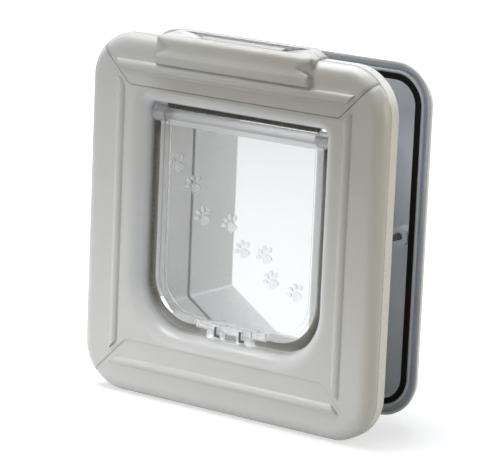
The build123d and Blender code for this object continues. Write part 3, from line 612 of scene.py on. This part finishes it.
def close_tree(tree, geometry, material, out):
    """Ends a tree: instances become real faces, and they get their finish."""
    solid = node(tree, "GeometryNodeRealizeInstances", {"Geometry": geometry})
    done = node(tree, "GeometryNodeSetMaterial", {"Geometry": solid.outputs[0], "Material": material})
    tree.links.new(done.outputs[0], out["Geometry"])


# %% [markdown]
# A tree works on a path. The next helper lays edges along lines of points. The other one runs a tree on such a
# path, keeps the result as a plain mesh and throws the path away, so that nothing is left to be worked out later.

# %% Helpers for paths
def path_mesh(name, lines, **numbers):
    """Edges along lines of points. A line that ends where it starts is closed. Numbers ride on the points."""
    mesh = bpy.data.meshes.new(name)
    points, edges = [], []
    for line in lines:
        closed = line[0] == line[-1]
        own = line[:-1] if closed else line
        first = len(points)
        points += own
        edges += [(first + k, first + k + 1) for k in range(len(own) - 1)]
        if closed:
            edges.append((len(points) - 1, first))
    mesh.from_pydata(points, edges, [])
    for label, values in numbers.items():
        mesh.attributes.new(label, "FLOAT", "POINT").data.foreach_set("value", values)
    return mesh


def grow(name, base, tree, **sizes):
    """Runs a tree on a path and gives back the result as a plain piece."""
    seedling = bpy.data.objects.new(name + "_path", base)
    scene.collection.objects.link(seedling)
    modifier = seedling.modifiers.new("grow", "NODES")
    modifier.node_group = tree
    for item in tree.interface.items_tree:
        if item.in_out == "INPUT" and item.name in sizes:
            modifier[item.identifier] = sizes[item.name]
    graph = bpy.context.evaluated_depsgraph_get()
    mesh = bpy.data.meshes.new_from_object(seedling.evaluated_get(graph), preserve_all_data_layers=True,
                                           depsgraph=graph)
    mesh.name = name
    bpy.data.objects.remove(seedling)
    piece = bpy.data.objects.new(name, mesh)
    scene.collection.objects.link(piece)
    print(name, "has", len(mesh.polygons), "faces")
    return piece


# %% [markdown]
# ### The brush seal
# A strip of pile closes the gap round the flap. It could be a block with a furry texture, but its edge against
# the frame would stay hard. Here each bristle is a slim three-sided spike. The path is the edge of the flap, and
# every point of it knows how far it is to the frame, so the pile is longer in the corners. Rows of points across
# the strip's depth carry the spikes, each with a little lean and a length and tone of its own.

# %% The tree for a strip of bristles
bristles, given, out = new_tree("bristle_strip", Spacing="Float", Rows="Int", Depth="Float", Thickness="Float",
                                Lean="Float", Seed="Int", Finish="Material")
line = node(bristles, "GeometryNodeMeshToCurve", {"Mesh": given["Geometry"]})
spots = node(bristles, "GeometryNodeCurveToPoints", {"Curve": line.outputs[0], "Length": given["Spacing"]},
             mode="LENGTH")
rows = node(bristles, "GeometryNodeDuplicateElements", {"Geometry": spots.outputs["Points"],
                                                        "Amount": given["Rows"]}, domain="POINT")


def chance(low, high, offset):
    """A random number for each bristle, from the tree's seed and an offset of its own."""
    seed = sums(bristles, "ADD", given["Seed"], float(offset))
    draw = node(bristles, "FunctionNodeRandomValue", {"Seed": seed}, data_type="FLOAT")
    slots = [s for s in draw.inputs if s.enabled and s.name in ("Min", "Max")]
    slots[0].default_value, slots[1].default_value = low, high
    return next(s for s in draw.outputs if s.enabled)


tangent = spots.outputs["Tangent"]
step = sums(bristles, "ADD", rows.outputs["Duplicate Index"], chance(0.1, 0.9, 1))
across = sums(bristles, "MULTIPLY", sums(bristles, "DIVIDE", step, given["Rows"]), given["Depth"])
slip = sums(bristles, "MULTIPLY", given["Spacing"], chance(-0.5, 0.5, 2))
along = node(bristles, "ShaderNodeVectorMath", {0: tangent, "Scale": slip}, operation="SCALE")
deep = node(bristles, "ShaderNodeCombineXYZ", {"Y": across})
shift = node(bristles, "ShaderNodeVectorMath", {0: along.outputs[0], 1: deep.outputs[0]}, operation="ADD")
placed = node(bristles, "GeometryNodeSetPosition", {"Geometry": rows.outputs["Geometry"],
                                                    "Offset": shift.outputs[0]})
print("bristle tree: points are placed")

# %% [markdown]
# A spike is a cone of unit size that each point turns and stretches. It stores how near a spot is to its root,
# and the finish of the pile reads that number together with the tone of the bristle.

# %% Bristles on the points
tip_share, root_zone = 0.45, (0.45, 0.25)
outwards = node(bristles, "ShaderNodeVectorMath", {0: tangent, 1: (0, -1, 0)}, operation="CROSS_PRODUCT")
swing = sums(bristles, "MULTIPLY", given["Lean"], chance(-1.0, 1.0, 3))
bent = node(bristles, "ShaderNodeVectorMath", {0: tangent, "Scale": swing}, operation="SCALE")
way = node(bristles, "ShaderNodeVectorMath", {0: outwards.outputs[0], 1: bent.outputs[0]}, operation="ADD")
turn = node(bristles, "FunctionNodeAlignRotationToVector", {"Vector": way.outputs[0]}, axis="Z")
reach = node(bristles, "GeometryNodeInputNamedAttribute", {"Name": "reach"}, data_type="FLOAT")
length = sums(bristles, "MULTIPLY", reach.outputs["Attribute"], chance(0.88, 0.99, 4))
size = node(bristles, "ShaderNodeCombineXYZ", {"X": given["Thickness"], "Y": given["Thickness"], "Z": length})
cone = node(bristles, "GeometryNodeMeshCone", {"Vertices": 3, "Radius Top": tip_share, "Radius Bottom": 1.0,
                                               "Depth": 1.0})
spot = node(bristles, "GeometryNodeInputPosition")
height = node(bristles, "ShaderNodeSeparateXYZ", {0: spot.outputs[0]})
near_root = rising(bristles, height.outputs["Z"], *root_zone)
spike = node(bristles, "GeometryNodeStoreNamedAttribute", {"Geometry": cone.outputs["Mesh"],
                                                           "Name": "bristle_root", "Value": near_root},
             data_type="FLOAT", domain="POINT")
planted = node(bristles, "GeometryNodeInstanceOnPoints", {"Points": placed.outputs[0],
                                                          "Instance": spike.outputs["Geometry"],
                                                          "Rotation": turn.outputs[0], "Scale": size.outputs[0]})
toned = node(bristles, "GeometryNodeStoreNamedAttribute", {"Geometry": planted.outputs[0],
                                                           "Name": "bristle_tone", "Value": chance(0.0, 1.0, 5)},
             data_type="FLOAT", domain="INSTANCE")
close_tree(bristles, toned.outputs[0], given["Finish"], out)
print("bristle tree has", len(bristles.nodes), "nodes")

# %% [markdown]
# The paths below repeat the flap's outline from the construction model: straight sides, a round lower corner and
# a flat bottom that stops at the catch. The frame's opening is the same shape, wider, and a short sum gives the
# distance to it at each point.

# %% Outline of the flap
flap_half, flap_low, flap_round = 0.0656, -0.0698, 0.0301
hole_half, hole_low, hole_round = 0.0716, -0.0758, 0.0336
side_top, catch_half = 0.0624, 0.0181
strip_front, corner_steps = -0.0057, 16


def outline_with_reach(sign):
    """Points down the side, round the corner and along to the catch, each with its distance to the frame."""
    middle = Vector((flap_half - flap_round, flap_low + flap_round))
    hole_middle = Vector((hole_half - hole_round, hole_low + hole_round))
    side, base = hole_half - flap_half, flap_low - hole_low
    spots = [((flap_half, side_top), side), ((flap_half, 0.0), side)]
    for k in range(corner_steps + 1):
        angle = math.radians(90 * k / corner_steps)
        way = Vector((math.cos(angle), -math.sin(angle)))
        point = middle + flap_round * way
        off = point - hole_middle
        far = -off.dot(way) + math.sqrt(off.dot(way) ** 2 - off.length_squared + hole_round ** 2)
        spots.append(((point.x, point.y), far))
    spots.append(((catch_half, flap_low), base))
    if sign > 0:
        spots.reverse()
    return [(sign * x, strip_front, z) for (x, z), _ in spots], [far for _, far in spots]


print("longest bristles reach", round(1000 * max(outline_with_reach(1)[1]), 1), "mm")

# %% [markdown]
# The two strips at the sides ride on the flap, and the one above it stays on the frame. All three share the sizes
# of their bristles, and each has a seed of its own.

# %% Grow the three strips
strip_depth = 0.0040
bristle_sizes = {"Spacing": 0.00030, "Rows": 8, "Thickness": 0.00013, "Lean": 0.05, "Finish": pile}
for side, sign, seed in (("left", -1, 11), ("right", 1, 23)):
    route, reaches = outline_with_reach(sign)
    strip = grow("pile_" + side, path_mesh("pile_route_" + side, [route], reach=reaches), bristles,
                 Depth=strip_depth, Seed=seed, **bristle_sizes)
    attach(strip, "flap")
    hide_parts("brush_" + side)
lintel_low, lintel_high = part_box("brush_top")
route = [(lintel_low.x, lintel_low.y, lintel_high.z), (lintel_high.x, lintel_low.y, lintel_high.z)]
reaches = [lintel_high.z - lintel_low.z] * len(route)
strip = grow("pile_top", path_mesh("pile_route_top", [route], reach=reaches), bristles,
             Depth=lintel_high.y - lintel_low.y, Seed=37, **bristle_sizes)
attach(strip, "frame")
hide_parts("brush_top")

# %% [markdown]
# ### The sensor's winding
# A coil of enamelled wire lies round the tunnel and feels the key on a cat's collar. As a solid it is a plain
# hoop. Here one closed path is laid side by side as turns and one on another as layers, and each turn gets a
# round section.

# %% The tree for turns of wire
turns, given, out = new_tree("wire_turns", Turns="Int", Pitch="Float", Wire="Float", Finish="Material")
loop = node(turns, "GeometryNodeMeshToCurve", {"Mesh": given["Geometry"]})
step = node(turns, "ShaderNodeCombineXYZ", {"Y": given["Pitch"]})
row = node(turns, "GeometryNodeMeshLine", {"Count": given["Turns"], "Offset": step.outputs[0]})
laid = node(turns, "GeometryNodeInstanceOnPoints", {"Points": row.outputs[0], "Instance": loop.outputs[0]})
real = node(turns, "GeometryNodeRealizeInstances", {"Geometry": laid.outputs[0]})
ring = node(turns, "GeometryNodeCurvePrimitiveCircle", {"Resolution": 6, "Radius": given["Wire"]})
wire = node(turns, "GeometryNodeCurveToMesh", {"Curve": real.outputs[0], "Profile Curve": ring.outputs["Curve"]})
close_tree(turns, wire.outputs[0], given["Finish"], out)
print("winding tree has", len(turns.nodes), "nodes")

# %% [markdown]
# One turn follows the outline of the hoop, at some depth inside its outer edge. Each corner is rounded: its
# middle lies on the line that halves the corner, and a spoke from there swings round it in even steps.

# %% Wind the sensor
coil_low, coil_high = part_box("sensor_coil")
coil_band, coil_round, wire_size = 0.0022, 0.0088, 0.00025
slant_width, slant_height = 0.0407, 0.0270
layer_count, turn_count, bend_steps = 4, 12, 8


def hoop(depth):
    """A closed loop inside the coil's outer edge: an upright oblong with slanting lower corners, all rounded."""
    slant = math.hypot(slant_width, slant_height)
    half, top, low = coil_high.x - depth, coil_high.z - depth, coil_low.z + depth
    bend = coil_low.z + slant_height + depth * (slant - slant_height) / slant_width
    foot = coil_high.x - slant_width - depth * (slant - slant_width) / slant_height
    one_side = [Vector((foot, low)), Vector((half, bend)), Vector((half, top))]
    corners = one_side + [Vector((-p.x, p.y)) for p in reversed(one_side)]
    radius = coil_round - depth
    points = []
    for k, corner in enumerate(corners):
        before = (corners[k - 1] - corner).normalized()
        after = (corners[(k + 1) % len(corners)] - corner).normalized()
        opening = before.angle(after) / 2
        middle = corner + (before + after).normalized() * radius / math.sin(opening)
        first = corner + before * radius / math.tan(opening) - middle
        for step in range(bend_steps + 1):
            spoke = first.copy()
            spoke.rotate(Matrix.Rotation((math.pi - 2 * opening) * step / bend_steps, 2))
            points.append((middle.x + spoke.x, coil_low.y + wire_size, middle.y + spoke.y))
    return points + points[:1]


layer_gap = (coil_band - 2 * wire_size) / (layer_count - 1)
layers = [hoop(wire_size + layer_gap * k) for k in range(layer_count)]
winding = grow("sensor_winding", path_mesh("sensor_loops", layers), turns, Turns=turn_count,
               Pitch=(coil_high.y - coil_low.y - 2 * wire_size) / (turn_count - 1), Wire=wire_size, Finish=copper)
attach(winding, "frame")
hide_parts("sensor_coil")

# %% [markdown]
# ### The long screws
# Two screws clamp the two frames through the door. The thread is a spiral with a small square swept along it,
# laid round a plain shank so that only an edge of the square stands out. The tree makes one screw along Z.

# %% Shank and thread
screws, given, out = new_tree("long_screws", Length="Float", Core="Float", Crest="Float", Pitch="Float",
                              Head="Float", Rise="Float", Finish="Material")
thread_share, thread_start = 0.62, 0.37
core = node(screws, "GeometryNodeMeshCylinder", {"Vertices": 24, "Radius": given["Core"], "Depth": given["Length"]})
lift = node(screws, "ShaderNodeCombineXYZ", {"Z": sums(screws, "MULTIPLY", given["Length"], 0.5)})
shank = node(screws, "GeometryNodeTransform", {"Geometry": core.outputs["Mesh"], "Translation": lift.outputs[0]})
threaded = sums(screws, "MULTIPLY", given["Length"], thread_share)
count = sums(screws, "DIVIDE", threaded, given["Pitch"])
helix = node(screws, "GeometryNodeCurveSpiral", {"Resolution": 20, "Rotations": count,
                                                 "Start Radius": given["Core"], "End Radius": given["Core"],
                                                 "Height": threaded})
ridge_size = sums(screws, "SUBTRACT", given["Crest"], given["Core"])
ridge = node(screws, "GeometryNodeCurvePrimitiveCircle", {"Resolution": 4, "Radius": ridge_size})
swept = node(screws, "GeometryNodeCurveToMesh", {"Curve": helix.outputs[0], "Profile Curve": ridge.outputs["Curve"],
                                                 "Fill Caps": True})
climb = node(screws, "ShaderNodeCombineXYZ", {"Z": sums(screws, "MULTIPLY", given["Length"], thread_start)})
thread = node(screws, "GeometryNodeTransform", {"Geometry": swept.outputs[0], "Translation": climb.outputs[0]})
print("screw tree: shank and thread")

# %% [markdown]
# The head is half a ball pressed flat, and the cross in it is cut out with a boolean. The whole screw is then
# turned to point outdoors and set on each of two points.

# %% The head and the two places
block_size = 0.02
cross_length, cross_width, cross_depth = 0.0048, 0.0011, 0.0032
ball = node(screws, "GeometryNodeMeshUVSphere", {"Segments": 32, "Rings": 16, "Radius": 1.0})
pressed = node(screws, "ShaderNodeCombineXYZ", {"X": given["Head"], "Y": given["Head"], "Z": given["Rise"]})
dome = node(screws, "GeometryNodeTransform", {"Geometry": ball.outputs["Mesh"], "Scale": pressed.outputs[0]})
block = node(screws, "GeometryNodeMeshCube", {"Size": (block_size, block_size, block_size)})
cutters = [node(screws, "GeometryNodeTransform", {"Geometry": block.outputs["Mesh"],
                                                  "Translation": (0, 0, block_size / 2)})]
head_top = node(screws, "ShaderNodeCombineXYZ", {"Z": sums(screws, "MULTIPLY", given["Rise"], -1.0)})
for arm_width, arm_height in ((cross_length, cross_width), (cross_width, cross_length)):
    arm = node(screws, "GeometryNodeMeshCube", {"Size": (arm_width, arm_height, cross_depth)})
    cutters.append(node(screws, "GeometryNodeTransform", {"Geometry": arm.outputs["Mesh"],
                                                          "Translation": head_top.outputs[0]}))
head = node(screws, "GeometryNodeMeshBoolean", {"Mesh 1": dome.outputs[0]}, operation="DIFFERENCE", solver="EXACT")
for cutter in cutters:
    screws.links.new(cutter.outputs[0], head.inputs["Mesh 2"])
whole = node(screws, "GeometryNodeJoinGeometry")
for part in (shank, thread, head):
    screws.links.new(part.outputs[0], whole.inputs["Geometry"])
spots = node(screws, "GeometryNodeMeshToPoints", {"Mesh": given["Geometry"]})
set_in = node(screws, "GeometryNodeInstanceOnPoints", {"Points": spots.outputs[0], "Instance": whole.outputs[0],
                                                       "Rotation": (math.radians(-90), 0, 0)})
close_tree(screws, set_in.outputs[0], given["Finish"], out)
print("screw tree has", len(screws.nodes), "nodes")

# %% [markdown]
# The box of the two solid screws says where they sit and how long they are. The heads are at its front.

# %% Set the screws
screw_low, screw_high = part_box("fixing_screws")
head_rise, head_width = 0.0026, 0.0042
seat_y = screw_low.y + head_rise
height = (screw_low.z + screw_high.z) / 2
seats = bpy.data.meshes.new("screw_seats")
seats.from_pydata([(side * (screw_high.x - head_width), seat_y, height) for side in (-1, 1)], [], [])
# The screws carry the near-black painted shade of the screw hole.
pair = grow("screw_pair", seats, screws, Length=screw_high.y - seat_y, Core=0.0018, Crest=0.0022, Pitch=0.0010,
            Head=head_width, Rise=head_rise, Finish=hole_shade_steel)
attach(pair, "frame")
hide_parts("fixing_screws")

# %% [markdown]
# ### Small parts on the board
# With the cover off the control board is in plain view, and a board without legs and solder looks like a toy. The
# chip gets a row of legs on two sides, and a few tiny resistors stand along the upper edge. They are only blocks,
# so a bmesh sets them down one by one: two ends of metal and, for a resistor, a black body between them.

# %% Legs and resistors
part_rise, metal_slot, black_slot = 0.0006, 0, 1
chip_middle, chip_half_width = Vector((0.079, 0, 0.0965)), 0.0040
leg_pitch, legs_per_side, leg_width, leg_length, leg_offset = 0.00127, 7, 0.00045, 0.0014, 0.0006
resistor_count, resistor_pitch, resistor_width, resistor_length = 6, 0.0032, 0.0009, 0.0012
resistor_left, resistor_drop, end_length, end_offset = 0.0045, 0.0030, 0.0004, 0.0008
board_low, board_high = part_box("circuit_board")
work = bmesh.new()


def set_block(x, z, width, length, finish_slot):
    """One small block standing on the face of the board."""
    seat = Matrix.LocRotScale(Vector((x, board_face - part_rise / 2, z)), None, Vector((width, part_rise, length)))
    made = bmesh.ops.create_cube(work, size=1.0, matrix=seat)
    for face in {f for v in made["verts"] for f in v.link_faces}:
        face.material_index = finish_slot


for k in range(legs_per_side):
    x = chip_middle.x + (k - (legs_per_side - 1) / 2) * leg_pitch
    for side in (-1, 1):
        set_block(x, chip_middle.z + side * (chip_half_width + leg_offset), leg_width, leg_length, metal_slot)
for k in range(resistor_count):
    x, z = board_low.x + resistor_left + resistor_pitch * k, board_high.z - resistor_drop
    set_block(x, z, resistor_width, resistor_length, black_slot)
    for side in (-1, 1):
        set_block(x, z + side * end_offset, resistor_width, end_length, metal_slot)
small = bpy.data.meshes.new("board_parts")
work.to_mesh(small)
work.free()
small.materials.append(nickel)
small.materials.append(black_plastic)
board_parts = bpy.data.objects.new("board_parts", small)
scene.collection.objects.link(board_parts)
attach(board_parts, "frame")
print("board parts:", len(small.polygons), "faces")
